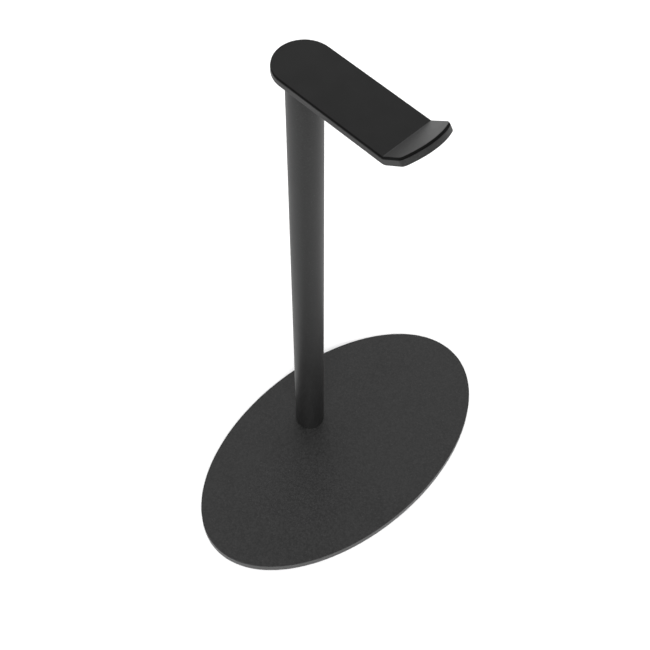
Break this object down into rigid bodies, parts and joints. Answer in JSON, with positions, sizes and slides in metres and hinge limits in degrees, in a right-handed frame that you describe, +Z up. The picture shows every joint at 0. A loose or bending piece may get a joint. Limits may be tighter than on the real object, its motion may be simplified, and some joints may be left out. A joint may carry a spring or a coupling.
{
  "type": "headphone stand",
  "caption": "Free-standing headphone stand: oval steel base, slim round post and a flat cantilevered arm with an upturned front lip and a thin silicone pad.",
  "frame": {"origin": "on the desk, under the middle of the oval base", "axes": "+Z up the post; the arm points to -Y, which is the front; the long axis of the oval base runs along X"},
  "size_m": [0.1738, 0.1022, 0.2729],
  "materials": {
    "powder_coat": "black powder coat, satin, fine orange-peel texture",
    "silicone": "black moulded silicone, smooth matt",
    "adhesive_film": "clear double-sided adhesive film, dull",
    "steel_insert": "turned, bright zinc plated",
    "screw_steel": "black oxide, lightly oiled",
    "rubber_feet": "black moulded rubber, matt"
  },
  "bodies": {
    "root": {"arm_plate": "powder_coat", "arm_screws": "screw_steel", "base_plate": "powder_coat", "base_screw": "screw_steel", "foot_adhesive_1": "adhesive_film", "foot_adhesive_2": "adhesive_film", "foot_adhesive_3": "adhesive_film", "foot_adhesive_4": "adhesive_film", "foot_adhesive_5": "adhesive_film", "foot_adhesive_6": "adhesive_film", "locating_pin": "steel_insert", "lower_insert": "steel_insert", "pad_adhesive": "adhesive_film", "post_tube": "powder_coat", "rubber_foot_1": "rubber_feet", "rubber_foot_2": "rubber_feet", "rubber_foot_3": "rubber_feet", "rubber_foot_4": "rubber_feet", "rubber_foot_5": "rubber_feet", "rubber_foot_6": "rubber_feet", "silicone_pad": "silicone", "upper_insert": "steel_insert"}
  },
  "joints": []
}
